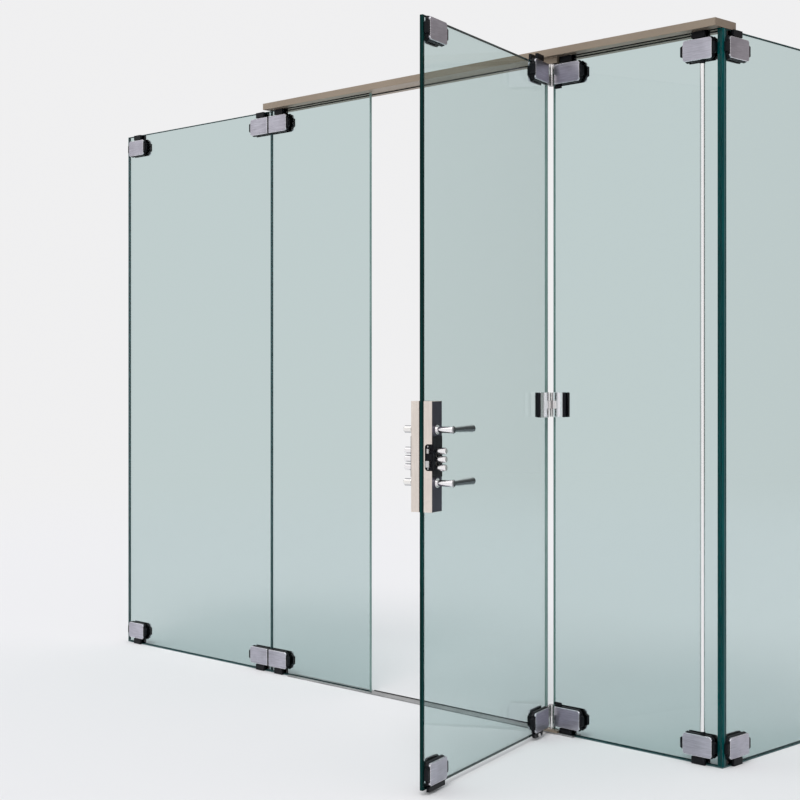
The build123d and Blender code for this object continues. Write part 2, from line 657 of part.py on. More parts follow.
def lock_cases():
    outer, inner = case_shell(), mirrored(case_shell())
    outer -= along_x(forend_sheet(0), -LEAF_EDGE, -LEAF_EDGE + FOREND_DEPTH)
    add("lock_case_outer", LEAF * outer)
    add("lock_case_inner", LEAF * inner)
    forend = along_x(forend_sheet(0), -LEAF_EDGE, -LEAF_EDGE + FOREND_DEPTH)
    forend -= along_x(forend_sheet(FOREND_RIM), -LEAF_EDGE, -LEAF_EDGE + FOREND_RECESS)
    for z, height in ((LATCH_Z, LATCH_H), (DEAD_BOLT_Z, DEAD_BOLT_H)):
        forend -= bolt_block(-LEAF_EDGE, -LEAF_EDGE + FOREND_DEPTH, z, height, BOLT_FIT)
    add("lock_forend", LEAF * forend)


def escutcheons():
    x0, x1 = -LEAF_EDGE + ESCUTCHEON_INSET, -LEAF_EDGE + CASE_L - ESCUTCHEON_INSET
    z0, z1 = CASE_Z - ESCUTCHEON_H / 2, CASE_Z + ESCUTCHEON_H / 2
    plate = block(x0, x1, -CASE_FACE - ESCUTCHEON_T, -CASE_FACE, z0, z1)
    plate = chamfer(plate.faces().sort_by(Axis.Y)[0].edges(), ESCUTCHEON_T / 2)
    plate -= knob_slot(RUNNING_FIT, -CASE_FACE - ESCUTCHEON_T, -CASE_FACE)
    add("lock_escutcheons", LEAF * plate, LEAF * mirrored(plate))


def lever_roses():
    for z in (UPPER_LEVER_Z, LOWER_LEVER_Z):
        rose = rod_y(SPINDLE_X, z, ROSE_D, -CASE_FACE - ROSE_T, -CASE_FACE)
        rose -= rod_y(SPINDLE_X, z, LEVER_NECK_D + 2 * RUNNING_FIT, -CASE_FACE - ROSE_T, -CASE_FACE)
        add("lever_roses", LEAF * rose, LEAF * mirrored(rose))


# levers with their spindle and follower

def lever():
    # drawn with X towards the hinge, Y up and Z out of the case
    root, shoulder, top = LEVER_NECK_D / 2, LEVER_SHOULDER_D / 2, LEVER_REACH + LEVER_ROOT_D / 2
    side = [(0, LOOSE_FIT), (root, LOOSE_FIT), (root, ROSE_T)]
    side += [(shoulder, top - LEVER_EDGE), (shoulder - LEVER_EDGE, top), (0, top)]
    neck = revolve(Plane.XZ * make_face(Polyline(*side, close=True)), Axis.Z)
    grip = Cone(LEVER_ROOT_D / 2, LEVER_TIP_D / 2, LEVER_L)
    grip = chamfer(grip.edges().filter_by(GeomType.CIRCLE).sort_by(Axis.Z)[-1], LEVER_EDGE)
    return neck + Pos(LEVER_L / 2, 0, LEVER_REACH) * Rot(0, 90, 0) * grip


def turn_knob():
    # the short round knob on the inside of each lever's spindle
    root, head = LEVER_NECK_D / 2, TURN_D / 2
    side = [(0, LOOSE_FIT), (root, LOOSE_FIT), (root, ROSE_T), (head, ROSE_T + TURN_EDGE)]
    side += [(head, TURN_L - TURN_EDGE), (head - TURN_EDGE, TURN_L), (0, TURN_L)]
    return revolve(Plane.XZ * make_face(Polyline(*side, close=True)), Axis.Z)


def spindle(z):
    # a bar through both cases, with the follower whose arm draws a bolt back
    bar = rod_y(SPINDLE_X, z, SPINDLE_D, -CASE_FACE - LOOSE_FIT, CASE_FACE + LOOSE_FIT)
    y0, y1 = FOLLOWER_Y - FOLLOWER_T, FOLLOWER_Y
    hub = rod_y(SPINDLE_X, z, FOLLOWER_D, y0, y1)
    half = FOLLOWER_ARM_W / 2
    return bar + hub + block(SPINDLE_X - half, SPINDLE_X + half, y0, y1, z, z + FOLLOWER_ARM_L)


def levers():
    for name, z in (("upper_lever", UPPER_LEVER_Z), ("lower_lever", LOWER_LEVER_Z)):
        place = outward(SPINDLE_X, z, CASE_FACE).location
        inner = mirrored(place * turn_knob())
        add(name, LEAF * (place * lever()), LEAF * inner, LEAF * spindle(z))


# turn knobs in a column, one pair on each stem

def knob():
    # turned: a neck that widens into the head, and a chamfered end
    neck, head, tip = KNOB_NECK_D / 2, KNOB_D / 2, KNOB_NECK_L + KNOB_L
    side = [(0, LOOSE_FIT), (neck, LOOSE_FIT), (head, KNOB_NECK_L)]
    side += [(head, tip - KNOB_EDGE), (head - KNOB_EDGE, tip), (0, tip)]
    return revolve(Plane.XZ * make_face(Polyline(*side, close=True)), Axis.Z)


def knobs():
    face = CASE_FACE + ESCUTCHEON_T
    for name, z in zip(("knob_top", "knob_middle", "knob_bottom"), KNOB_ZS):
        outer = outward(SPINDLE_X, z, face).location * knob()
        stem = rod_y(SPINDLE_X, z, KNOB_STEM_D, -face - LOOSE_FIT, face + LOOSE_FIT)
        add(name, LEAF * outer, LEAF * mirrored(outer), LEAF * stem)


# bolts: a head in the forend, a thin tail with a leg, and the lug that the follower meets

def bolt(z, height, out, leg_z, tail_h):
    head = bolt_block(-LEAF_EDGE - out, BOLT_HEAD_END, z, height)
    y = -(HALF_GLASS + BOLT_Y)
    y0, y1 = y - TAIL_T / 2, y + TAIL_T / 2
    tail = block(BOLT_HEAD_END, TAIL_END, y0, y1, z - tail_h / 2, z + tail_h / 2)
    leg = block(TAIL_END - TAIL_LEG_W, TAIL_END, y0, y1, min(z, leg_z), max(z, leg_z + LUG_H))
    lug_x = SPINDLE_X + FOLLOWER_ARM_W / 2 + LUG_GAP
    lug = block(lug_x, TAIL_END, y0, FOLLOWER_Y, leg_z, leg_z + LUG_H)
    return head + tail + leg + lug


def latch_bolt():
    leg_z = UPPER_LEVER_Z + FOLLOWER_ARM_L - LUG_BITE
    latch = bolt(LATCH_Z, LATCH_H, LATCH_OUT, leg_z, LATCH_H)
    tip_edge = latch.edges().filter_by(Axis.Z).sort_by(Axis.X)[:2].sort_by(Axis.Y)[-1]
    latch = chamfer(tip_edge, LATCH_BEVEL)
    half = KNOB_STEM_D / 2 + LOOSE_FIT
    slot = block(
        SPINDLE_X - BOLT_TRAVEL - half, SPINDLE_X + half,
        -CASE_FACE, -HALF_GLASS, LATCH_Z - half, LATCH_Z + half,
    )
    add("latch_bolt", LEAF * (latch - slot))


def dead_bolt():
    leg_z = LOWER_LEVER_Z + FOLLOWER_ARM_L - LUG_BITE
    add("dead_bolt", LEAF * bolt(DEAD_BOLT_Z, DEAD_BOLT_H, DEAD_BOLT_OUT, leg_z, DEAD_BOLT_TAIL_H))


def write_parts():
    os.makedirs("parts", exist_ok=True)
    for name, solids in nodes.items():
        pieces = [Solid(solid.wrapped) for part in solids for solid in part.solids()]
        whole = Compound(label=name, children=pieces)
        export_step(whole, os.path.join("parts", name + ".step"))


fixed_panes()
seals()
head_rail()
head_infill()
head_gasket()
floor_sill()
sill_gasket()
fixed_clamps()
corner_rod()
hinge_barrels()
pivot_blocks()
middle_hinge()
leaf_glass()
leaf_clamps()
lock_cases()
lock_pads()
escutcheons()
lever_roses()
levers()
knobs()
latch_bolt()
dead_bolt()
write_parts()
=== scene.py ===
import math

import bmesh
import bpy
from mathutils import Matrix, Vector


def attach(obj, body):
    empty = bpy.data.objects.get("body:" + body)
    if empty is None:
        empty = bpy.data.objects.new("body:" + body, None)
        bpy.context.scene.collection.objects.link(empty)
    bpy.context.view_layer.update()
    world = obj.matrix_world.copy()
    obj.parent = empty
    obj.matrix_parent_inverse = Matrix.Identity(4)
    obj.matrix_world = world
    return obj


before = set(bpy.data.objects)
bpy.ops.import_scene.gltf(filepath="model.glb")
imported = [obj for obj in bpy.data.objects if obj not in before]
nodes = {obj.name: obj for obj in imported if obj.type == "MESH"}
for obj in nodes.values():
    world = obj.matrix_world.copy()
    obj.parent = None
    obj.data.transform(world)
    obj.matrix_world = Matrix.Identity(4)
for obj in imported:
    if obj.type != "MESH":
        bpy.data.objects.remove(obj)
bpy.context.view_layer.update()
print("loaded", len(nodes), "solids of the entrance")


class Wire:
    # a socket that can be used in sums, from either side
    def __init__(self, paint, socket):
        self.paint, self.socket = paint, socket

    def sum(self, operation, first, second):
        return self.paint.node("Math", {"operation": operation}, {0: first, 1: second})

    def __add__(self, other):
        return self.sum("ADD", self, other)

    def __sub__(self, other):
        return self.sum("SUBTRACT", self, other)

    def __rsub__(self, other):
        return self.sum("SUBTRACT", other, self)

    def __mul__(self, other):
        return self.sum("MULTIPLY", self, other)

    def __pow__(self, other):
        return self.sum("POWER", self, other)

    def __rpow__(self, other):
        return self.sum("POWER", other, self)

    def __abs__(self):
        return self.paint.node("Math", {"operation": "ABSOLUTE"}, {0: self})

    __radd__ = __add__
    __rmul__ = __mul__


class Paint:
    # the nodes of one material, or of the backdrop
    def __init__(self, owner):
        owner.use_nodes = True
        self.owner, self.tree = owner, owner.node_tree
        self.tree.nodes.clear()

    def node(self, kind, settings=None, sockets=None, out=0):
        made = self.tree.nodes.new("ShaderNode" + kind)
        for key, value in (settings or {}).items():
            if key == "stops":
                while len(made.color_ramp.elements) < len(value):
                    made.color_ramp.elements.new(0.5)
                for element, (place, tone) in zip(made.color_ramp.elements, value):
                    element.position, element.color = place, (*tone, 1.0)
            else:
                setattr(made, key, value)
        for key, value in (sockets or {}).items():
            if isinstance(value, Wire):
                self.tree.links.new(value.socket, made.inputs[key])
            else:
                made.inputs[key].default_value = value
        return Wire(self, made.outputs[out]) if len(made.outputs) else made

    def noise(self, stretch, scale, detail=3.0):
        # object coordinates are metres in the model's own frame
        spot = self.node("TexCoord", out="Object")
        laid = self.node("Mapping", {}, {"Vector": spot, "Scale": stretch})
        return self.node("TexNoise", {}, {"Vector": laid, "Scale": scale, "Detail": detail})

    def facing(self, way):
        # 1 where the surface looks along way, -1 where it looks back
        normal = self.node("TexCoord", out="Normal")
        return self.node("VectorMath", {"operation": "DOT_PRODUCT"}, {0: normal, 1: way}, out="Value")

    def steps(self, value, low, high):
        # black below low, white above high
        return self.node("ValToRGB", {"stops": [(low, (0, 0, 0)), (high, (1, 1, 1))]}, {0: value})

    def blend(self, mask, first, second):
        # first where the mask is black, second where it is white; each a tone or another blend
        pair = [tone if isinstance(tone, Wire) else (*tone, 1) for tone in (first, second)]
        return self.node("Mix", {"data_type": "RGBA"}, {0: mask, 6: pair[0], 7: pair[1]}, out=2)

    def bump(self, height, strength, distance):
        return self.node("Bump", {}, {"Height": height, "Strength": strength, "Distance": distance})

    def end(self, shader):
        self.node("OutputMaterial", {}, {"Surface": shader})
        return self.owner

    def finish(self, **sockets):
        named = {key.replace("_", " "): value for key, value in sockets.items()}
        return self.end(self.node("BsdfPrincipled", {}, named))


def fresh(name):
    return Paint(bpy.data.materials.new(name))


allWays = (1, 1, 1)

# facing: what a pane mirrors when it is looked at squarely; power: how late that grows to all of it
glassLook = {
    "tint": (0.775, 0.838, 0.834), "facing": 0.012, "power": 5,
    "deep": (0.001, 0.014, 0.013), "teal": (0.002, 0.040, 0.037),
    "tealDeep": (0.0005, 0.042, 0.044), "tealTeal": (0.001, 0.088, 0.088),
    "paleDeep": (0.20, 0.30, 0.28), "paleTeal": (0.34, 0.46, 0.43),
}


def clearGlass():
    # each face passes tinted light, and mirrors more at a glancing angle
    paint = fresh("clear glass")
    glance = paint.node("LayerWeight", {}, {"Blend": 0.5}, out="Facing")
    mirror = glance ** glassLook["power"] * (1 - glassLook["facing"]) + glassLook["facing"]
    through = paint.node("BsdfTransparent", {}, {"Color": (*glassLook["tint"], 1)})
    shine = paint.node("BsdfGlossy", {}, {"Color": (1, 1, 1, 1), "Roughness": 0.0})
    return paint.end(paint.node("MixShader", {}, {0: mirror, 1: through, 2: shine}))


edgeLook = {
    "stretch": (1.0, 1.0, 0.02), "bands": 160.0, "drift": 1.2, "mixed": (0.7, 0.3),
    "contrast": (0.42, 0.68), "rough": 0.12, "roughBands": 0.08, "specular": 0.06,
}


def glassEdge(name, deep, teal):
    # polished edge: deep green with paler bands along its length
    paint, look = fresh(name), edgeLook
    bands = paint.noise(look["stretch"], look["bands"], 2.0)
    drift = paint.noise(allWays, look["drift"], 2.0)
    mask = paint.steps(bands * look["mixed"][0] + drift * look["mixed"][1], *look["contrast"])
    return paint.finish(
        Base_Color=paint.blend(mask, deep, teal), Roughness=bands * look["roughBands"] + look["rough"],
        Specular_IOR_Level=look["specular"],
    )


brushed = {
    "lines": 520.0, "cloud": 9.0, "contrast": (0.34, 0.66), "roughLines": 0.2, "bump": (0.18, 0.00008),
    "marks": 60.0, "markRange": (0.58, 0.72), "markShare": 0.14, "markTone": 0.55, "roughMarks": 0.1,
}


def satinSteel(name, color, darker, rough, way):
    # brushed face: fine lines one way, soft cloudy wear and a few handling marks
    paint, look = fresh(name), brushed
    lines, cloud = paint.noise(way, look["lines"], 4.0), paint.noise(allWays, look["cloud"])
    marks = paint.steps(paint.noise(allWays, look["marks"], 5.0), *look["markRange"])
    tone = paint.blend(paint.steps(cloud * 0.5 + lines * 0.5, *look["contrast"]), darker, color)
    tone = paint.blend(marks * look["markShare"], tone, [part * look["markTone"] for part in color])
    smooth = rough - look["roughLines"] / 2
    return paint.finish(
        Base_Color=tone, Metallic=1.0,
        Roughness=lines * look["roughLines"] + marks * look["roughMarks"] + smooth,
        Normal=paint.bump(lines, *look["bump"]),
    )


polished = {
    "stretch": (1, 1, 0.05), "scuffs": 220.0, "smear": 11.0, "waver": 0.1,
    "roughScuffs": 0.06, "roughSmear": 0.05, "bump": (0.05, 0.0001),
}


def bandedSteel(name, front, flank, way, paintedBand, rough):
    # polished rod or barrel: painted reflection, one tone along way and another across it, and hairline
    # scuffs
    paint, look = fresh(name), polished
    scuffs = paint.noise(look["stretch"], look["scuffs"], 2.0)
    smear = paint.noise(allWays, look["smear"])
    # the mask of the painted reflection
    mask = paint.steps(abs(paint.facing(way)) + (smear - 0.5) * look["waver"], *paintedBand)
    return paint.finish(
        Base_Color=paint.blend(mask, flank, front), Metallic=1.0,
        Roughness=scuffs * look["roughScuffs"] + smear * look["roughSmear"] + rough,
        Normal=paint.bump(scuffs, *look["bump"]),
    )


handled = {
    "scuffs": 240.0, "smear": 16.0, "waver": 0.2,
    "roughScuffs": 0.05, "roughSmear": 0.08, "bump": (0.05, 0.0001),
}


def handleSteel(name, light, paintedDark, way, paintedBand, rough):
    # polished by hands, with a painted dark reflection where it looks along way
    paint, look = fresh(name), handled
    smear, scuffs = paint.noise(allWays, look["smear"]), paint.noise(allWays, look["scuffs"], 2.0)
    toward = paint.facing(way) + (smear - 0.5) * look["waver"]
    return paint.finish(
        # the second tone is a painted dark reflection where the face looks along way
        Base_Color=paint.blend(paint.steps(toward, *paintedBand), light, paintedDark), Metallic=1.0,
        Roughness=smear * look["roughSmear"] + scuffs * look["roughScuffs"] + rough,
        Normal=paint.bump(scuffs, *look["bump"]),
    )


moulded = {
    "patches": 7.0, "dust": (0.48, 0.9), "roughGrain": 0.2, "roughPatches": 0.1,
    "specular": 0.17, "bump": (0.25, 0.0002),
}


def blackMoulding(name, color, dusty, rough, size):
    # moulded or painted black: fine grain, and dust that settles in patches
    paint, look = fresh(name), moulded
    grain, patches = paint.noise(allWays, size, 5.0), paint.noise(allWays, look["patches"], 4.0)
    return paint.finish(
        Base_Color=paint.blend(paint.steps(patches, *look["dust"]), color, dusty),
        Roughness=grain * look["roughGrain"] + patches * look["roughPatches"] + rough,
        Specular_IOR_Level=look["specular"], Normal=paint.bump(grain, *look["bump"]),
    )


anodised = {
    "stretch": (0.02, 1.0, 1.0), "dieLines": 420.0, "drift": 3.0, "mixed": (0.7, 0.3),
    "brown": (0.24, 0.19, 0.145), "paler": (0.38, 0.31, 0.24), "metallic": 0.6,
    "rough": 0.36, "roughLines": 0.15, "bump": (0.2, 0.0002),
}


def bronzeRail():
    # anodised extrusion: long die lines and a slight change of tone
    paint, look = fresh("bronze rail"), anodised
    dieLines = paint.noise(look["stretch"], look["dieLines"])
    drift = paint.noise(allWays, look["drift"])
    mask = drift * look["mixed"][0] + dieLines * look["mixed"][1]
    return paint.finish(
        Base_Color=paint.blend(mask, look["brown"], look["paler"]), Metallic=look["metallic"],
        Roughness=dieLines * look["roughLines"] + look["rough"], Normal=paint.bump(dieLines, *look["bump"]),
    )


# how the brushed lines are stretched, and where a painted reflection band looks
brushWay = {
    "level": (0.04, 0.04, 1.0), "upright": (1.0, 1.0, 0.03), "short": (1.0, 1.0, 0.1),
    "alongFront": (0.03, 1.0, 1.0),
}
paintedReflectionWay = {"street": (0.70, -0.71, 0), "leafOut": (0.96, 0.28, 0), "up": (0, 0, 1)}

finishes = {
    "face": clearGlass(),
    "edge": glassEdge("dark glass edge", glassLook["deep"], glassLook["teal"]),
    "tealEdge": glassEdge("teal glass edge", glassLook["tealDeep"], glassLook["tealTeal"]),
    "paleEdge": glassEdge("pale glass edge", glassLook["paleDeep"], glassLook["paleTeal"]),
    "coverSteel": satinSteel(
        "satin cover", (0.58, 0.57, 0.64), (0.34, 0.33, 0.38), 0.34, brushWay["level"]
    ),
    # a brighter copy of the satin cover for the rounded rims: a painted highlight
    "coverRimHighlight": satinSteel(
        "cover rim painted highlight", (0.93, 0.92, 0.96), (0.78, 0.77, 0.81), 0.26, brushWay["level"]
    ),
    "caseSteel": satinSteel(
        "lock case edge", (0.88, 0.80, 0.73), (0.74, 0.67, 0.61), 0.36, brushWay["upright"]
    ),
    # the broad faces of the lock cases: a painted dark reflection on the same steel
    "caseFaceDarkReflection": satinSteel(
        "lock case face painted dark reflection", (0.11, 0.105, 0.14), (0.06, 0.058, 0.08), 0.34, brushWay["upright"]
    ),
    "boltSteel": satinSteel(
        "bolt steel", (0.72, 0.71, 0.70), (0.5, 0.5, 0.5), 0.28, brushWay["short"]
    ),
    "sillSteel": satinSteel(
        "sill steel", (0.42, 0.42, 0.42), (0.24, 0.245, 0.25), 0.40, brushWay["alongFront"]
    ),
    # knobs and roses: a painted dark reflection on the faces that look up
    "handle": handleSteel(
        "polished knob painted dark top", (0.95, 0.93, 0.93), (0.40, 0.40, 0.42), paintedReflectionWay["up"], (0.35, 0.95), 0.09
    ),
    # levers: a painted dark reflection on the faces that look out of the leaf
    "grip": handleSteel(
        "polished lever painted reflection", (0.96, 0.94, 0.95), (0.15, 0.155, 0.165), paintedReflectionWay["leafOut"], (0.4, 0.84), 0.10
    ),
    # inside of the levers: painted reflection, a darker tone on the faces that look up or down
    "turn": bandedSteel(
        "polished turn painted reflection", (0.45, 0.45, 0.47), (0.93, 0.91, 0.88), paintedReflectionWay["up"], (0.45, 0.9), 0.10
    ),
    # barrels, hinge covers and rod: a painted highlight on the faces that look toward the street, a painted
    # dark reflection on those across
    "barrel": bandedSteel(
        "polished barrel painted highlight", (0.92, 0.885, 0.875), (0.24, 0.23, 0.24), paintedReflectionWay["street"], (0.05, 0.4), 0.22
    ),
    "hingeCover": bandedSteel(
        "polished hinge cover painted highlight", (0.93, 0.935, 0.95), (0.40, 0.41, 0.43), paintedReflectionWay["street"],
        (0.05, 0.4), 0.14,
    ),
    "rodChrome": bandedSteel(
        "polished rod painted highlight", (0.97, 0.96, 0.96), (0.16, 0.16, 0.17), paintedReflectionWay["street"], (0.2, 0.62), 0.12
    ),
    "blackHousing": blackMoulding(
        "black housing", (0.0035, 0.004, 0.006), (0.011, 0.0115, 0.014), 0.30, 900.0
    ),
    "blackMetal": blackMoulding(
        "black metal", (0.004, 0.0042, 0.007), (0.012, 0.0125, 0.016), 0.22, 500.0
    ),
    "rubber": blackMoulding("black rubber", (0.004, 0.004, 0.004), (0.015, 0.015, 0.015), 0.6, 1400.0),
    "clearSealant": blackMoulding(
        "clear sealant", (0.065, 0.125, 0.13), (0.10, 0.17, 0.175), 0.34, 300.0
    ),
    "bronze": bronzeRail(),
}

finishOf = {
    "coverSteel": """wall_clamp_covers joint_clamp_covers hinge_clamp_covers corner_clamp_covers
        leaf_hinge_clamp_covers leaf_free_clamp_covers""",
    "caseSteel": "lock_case_outer lock_case_inner",
    "boltSteel": "latch_bolt dead_bolt",
    "sillSteel": "floor_sill",
    "handle": "lever_roses knob_top knob_middle knob_bottom",
    "grip": "upper_lever lower_lever",
    "barrel": "frame_knuckles leaf_knuckles",
    "hingeCover": "frame_middle_hinge_covers leaf_middle_hinge_covers",
    "rodChrome": "corner_rod",
    "blackHousing": """wall_clamp_housings joint_clamp_housings hinge_clamp_housings corner_clamp_housings
        leaf_hinge_clamp_housings leaf_free_clamp_housings clamp_shoes leaf_shoes hinge_lugs rod_sockets
        lock_forend lock_escutcheons""",
    "blackMetal": "frame_middle_hinge_bodies leaf_middle_hinge_bodies",
    "rubber": "clamp_pads leaf_pads lock_pads head_gasket sill_gasket",
    "clearSealant": "perimeter_seals joint_seals",
    "bronze": "head_rail head_rail_caps head_infill pivot_blocks",
}

swing = {"angle": math.radians(106.0), "axisY": -0.017}
corner = {"midX": 0.700, "turn": math.radians(90)}

# each pane's own frame: X along the pane, Y through the glass
upright = Matrix.Identity(4)
aboutPin = Matrix.Translation((0, swing["axisY"], 0))
leafFrame = aboutPin @ Matrix.Rotation(swing["angle"], 4, "Z") @ aboutPin.inverted()
returnFrame = Matrix.Translation((corner["midX"], 0, 0)) @ Matrix.Rotation(corner["turn"], 4, "Z")

# ends: the finish of the lower and the upper cut end along the pane, clear under a sealed joint
# bands: how far in the painted dark reflection of each end reaches; edge: the finish of the bands and the
# level edges
panes = {
    "sidelight_glass": {
        "frame": upright, "body": "frame",
        "ends": ("face", "face"), "bands": (0.0, 0.0), "edge": "tealEdge",
    },
    "narrow_pane_glass": {
        "frame": upright, "body": "frame",
        "ends": ("face", "paleEdge"), "bands": (0.0, 0.0), "edge": "tealEdge",
    },
    "hinge_pane_glass": {
        "frame": upright, "body": "frame",
        "ends": ("paleEdge", "tealEdge"), "bands": (0.0, 0.018), "edge": "tealEdge",
    },
    "return_pane_glass": {
        "frame": returnFrame, "body": "frame",
        "ends": ("tealEdge", "paleEdge"), "bands": (0.007, 0.0), "edge": "tealEdge",
    },
    "leaf_glass": {
        "frame": leafFrame, "body": "door_leaf",
        "ends": ("edge", "paleEdge"), "bands": (0.008, 0.0), "edge": "edge",
    },
}


# how squarely a face looks out to count as a broad one
squareOn = {"glass": 0.99, "case": 0.9}


def ownBox(name, paneFrame):
    # a pane's corners in its own frame
    back = paneFrame.inverted()
    points = [back @ vertex.co for vertex in nodes[name].data.vertices]
    return [[pick(point[i] for point in points) for i in range(3)] for pick in (min, max)]


def dressPanes():
    # large faces are clear, and the cut edges are dark or pale
    for name, pane in panes.items():
        mesh, way = nodes[name].data, pane["frame"].to_3x3()
        along, across = way @ Vector((1, 0, 0)), way @ Vector((0, 1, 0))
        used = ["face", pane["edge"], *pane["ends"]]
        mesh.materials.clear()
        for finish in used:
            mesh.materials.append(finishes[finish])
        for polygon in mesh.polygons:
            end = round(polygon.normal.dot(along))
            if abs(polygon.normal.dot(across)) > squareOn["glass"]:
                polygon.material_index = 0
            elif end:
                polygon.material_index = 2 if end < 0 else 3
            else:
                polygon.material_index = 1


def secondFinish(name, finish, chosen):
    # another finish on the chosen faces of a solid
    mesh = nodes[name].data
    mesh.materials.append(finishes[finish])
    for polygon in mesh.polygons:
        polygon.material_index = len(mesh.materials) - 1 if chosen(polygon) else 0


def dress():
    for finish, names in finishOf.items():
        for name in names.split():
            nodes[name].data.materials.clear()
            nodes[name].data.materials.append(finishes[finish])
    dressPanes()
    outward, shut = leafFrame.to_3x3() @ Vector((0, -1, 0)), leafFrame.inverted()
    # a painted dark reflection on the broad faces of the lock's cases, and a turn of another finish inside
    # each lever, with its own painted reflection
    for name in finishOf["caseSteel"].split():
        secondFinish(
            name, "caseFaceDarkReflection", lambda polygon: abs(polygon.normal.dot(outward)) > squareOn["case"]
        )
    for name in finishOf["grip"].split():
        secondFinish(name, "turn", lambda polygon: (shut @ polygon.center).y > 0)


softEdges = {
    "coverSteel": 0.0022, "caseSteel": 0.0009, "blackHousing": 0.0016, "blackMetal": 0.001,
    "boltSteel": 0.0008, "handle": 0.0006, "grip": 0.0006, "barrel": 0.0006, "hingeCover": 0.0006,
    "bronze": 0.0005,
}
joining = {"weld": 0.00001, "flat": math.radians(0.5), "sharp": math.radians(28), "segments": 3}


def roundEdges():
    # joins the split corners of the solids, then rounds what is sharp
    for finish, width in softEdges.items():
        for name in finishOf[finish].split():
            piece = nodes[name]
            weld = piece.modifiers.new("join", "WELD")
            weld.merge_threshold = joining["weld"]
            if finish == "caseSteel":
                whole = piece.modifiers.new("whole faces", "DECIMATE")
                whole.decimate_type, whole.angle_limit = "DISSOLVE", joining["flat"]
                whole.delimit = {"MATERIAL"}
            bevel = piece.modifiers.new("soft edge", "BEVEL")
            bevel.width, bevel.segments, bevel.angle_limit = width, joining["segments"], joining["sharp"]
            bevel.use_clamp_overlap = True
            # the rounded rims of the covers take the brighter copy: a painted highlight
            if finish == "coverSteel":
                piece.data.materials.append(finishes["coverRimHighlight"])
                bevel.material = len(piece.data.materials) - 1
            for polygon in piece.data.polygons:
                polygon.use_smooth = True
            even = piece.modifiers.new("even shade", "WEIGHTED_NORMAL")
            even.keep_sharp = True


dress()
roundEdges()
print("dressed the solids")


def place(name, mesh, finish, body, slot):
    # turns a bmesh into a piece that rides on a body
    data = bpy.data.meshes.new(name)
    mesh.to_mesh(data)
    mesh.free()
    piece = bpy.data.objects.new(name, data)
    bpy.context.scene.collection.objects.link(piece)
    data.materials.append(finishes[finish])
    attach(piece, body)
    return piece


def addBar(mesh, low, high, turn):
    # a closed bar between two corners, in the frame of turn
    corners = [(x, y, z) for x in (low[0], high[0]) for y in (low[1], high[1]) for z in (low[2], high[2])]
    made = [mesh.verts.new(turn @ Vector(point)) for point in corners]
    for face in ((0, 1, 3, 2), (4, 6, 7, 5), (0, 4, 5, 1), (2, 3, 7, 6), (0, 2, 6, 4), (1, 5, 7, 3)):
        mesh.faces.new([made[i] for i in face])


# sizes of the painted reflection bars inside the glass
paintedEdgeReflectionSize = {"level": 0.0015, "from": 0.0004, "thick": 0.0003, "arris": 0.0009}


def paintedEdgeReflections():
    # painted reflection: dark bars inside each pane for the dark band that a thick pane shows just inside
    # its cut edges
    d = paintedEdgeReflectionSize
    for name, pane in panes.items():
        (x0, y0, z0), (x1, y1, z1) = ownBox(name, pane["frame"])
        x0, x1, z0, z1 = x0 + d["arris"], x1 - d["arris"], z0 + d["arris"], z1 - d["arris"]
        mesh = bmesh.new()
        for y in (y0 + d["from"], y1 - d["from"] - d["thick"]):
            back = y + d["thick"]
            left, right = x0 + pane["bands"][0], x1 - pane["bands"][1]
            if left > x0:
                addBar(mesh, (x0, y, z0), (left, back, z1), pane["frame"])
            if right < x1:
                addBar(mesh, (right, y, z0), (x1, back, z1), pane["frame"])
            addBar(mesh, (left, y, z0), (right, back, z0 + d["level"]), pane["frame"])
            addBar(mesh, (left, y, z1 - d["level"]), (right, back, z1), pane["frame"])
        bmesh.ops.recalc_face_normals(mesh, faces=mesh.faces)
        place(name.replace("_glass", "_painted_edge_reflection"), mesh, pane["edge"], pane["body"], "glass")


paintedEdgeReflections()
print("drew the depth of the glass edges")


def onLeaf(x, y, z):
    # a point of the shut leaf, turned open with it
    return leafFrame @ Vector((x, y, z))


def leafWay(x, y):
    return leafFrame.to_3x3() @ Vector((x, y, 0))


def turned(name, spot, way, profile, finish, body, slot, sides=40):
    # spins a profile of (radius, height) round the way it points
    mesh = bmesh.new()
    rings = []
    for radius, height in profile:
        ring = []
        for i in range(sides):
            angle = 2 * math.pi * i / sides
            ring.append(mesh.verts.new((radius * math.cos(angle), radius * math.sin(angle), height)))
        rings.append(ring)
    for low, high in zip(rings, rings[1:]):
        for i in range(sides):
            j = (i + 1) % sides
            mesh.faces.new((low[i], low[j], high[j], high[i])).smooth = True
    mesh.faces.new(list(reversed(rings[0])))
    mesh.faces.new(rings[-1])
    turn = Vector(way).to_track_quat("Z", "Y").to_matrix().to_4x4()
    mesh.transform(Matrix.Translation(spot) @ turn)
    return place(name, mesh, finish, body, slot)


# the shares are of the radius, the height and the socket
capScrew = {
    "radius": 0.0034, "height": 0.0016, "socket": 0.0018,
    "wall": 0.6, "crown": 0.86, "taper": 0.96, "floor": 0.25, "sides": 24,
}


def screwHead(name, spot, way, body, scale=1.0):
    # a low cap with a sunk socket
    cap = capScrew
    r, h, s = (cap[key] * scale for key in ("radius", "height", "socket"))
    profile = [
        (r, 0), (r, h * cap["wall"]), (r * cap["crown"], h), (s, h), (s * cap["taper"], h * cap["floor"]),
    ]
    return turned(name, spot, way, profile, "boltSteel", body, "satin_steel", cap["sides"])


footScrew = {
    "x": -0.110, "z": 0.0165, "face": 0.0175, "radius": 0.0070, "dome": 0.0075, "rim": 0.25,
    "turns": (22, 44, 66, 82),
}


